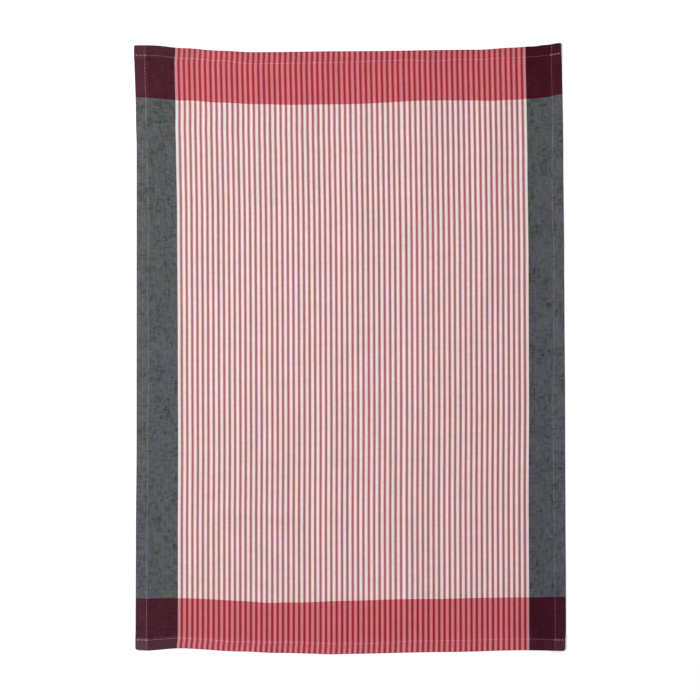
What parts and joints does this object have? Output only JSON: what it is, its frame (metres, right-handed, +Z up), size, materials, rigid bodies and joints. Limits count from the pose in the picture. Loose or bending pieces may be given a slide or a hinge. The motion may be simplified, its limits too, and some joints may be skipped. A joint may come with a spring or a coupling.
{
  "type": "tea towel",
  "caption": "Flat rectangular cotton tea towel: thin red and white stripes, dark side bands, red end bands, hemmed all round.",
  "frame": {"origin": "centre of the towel's outline, on the surface that it lies on", "axes": "+X across the towel, along its weft; +Y up its length, along its warp; +Z up, out of its face"},
  "size_m": [0.4986, 0.7056, 0.0032],
  "materials": {
    "striped_cotton": "matte plain-weave cotton"
  },
  "bodies": {
    "root": {"towel_cloth": "striped_cotton"}
  },
  "joints": []
}
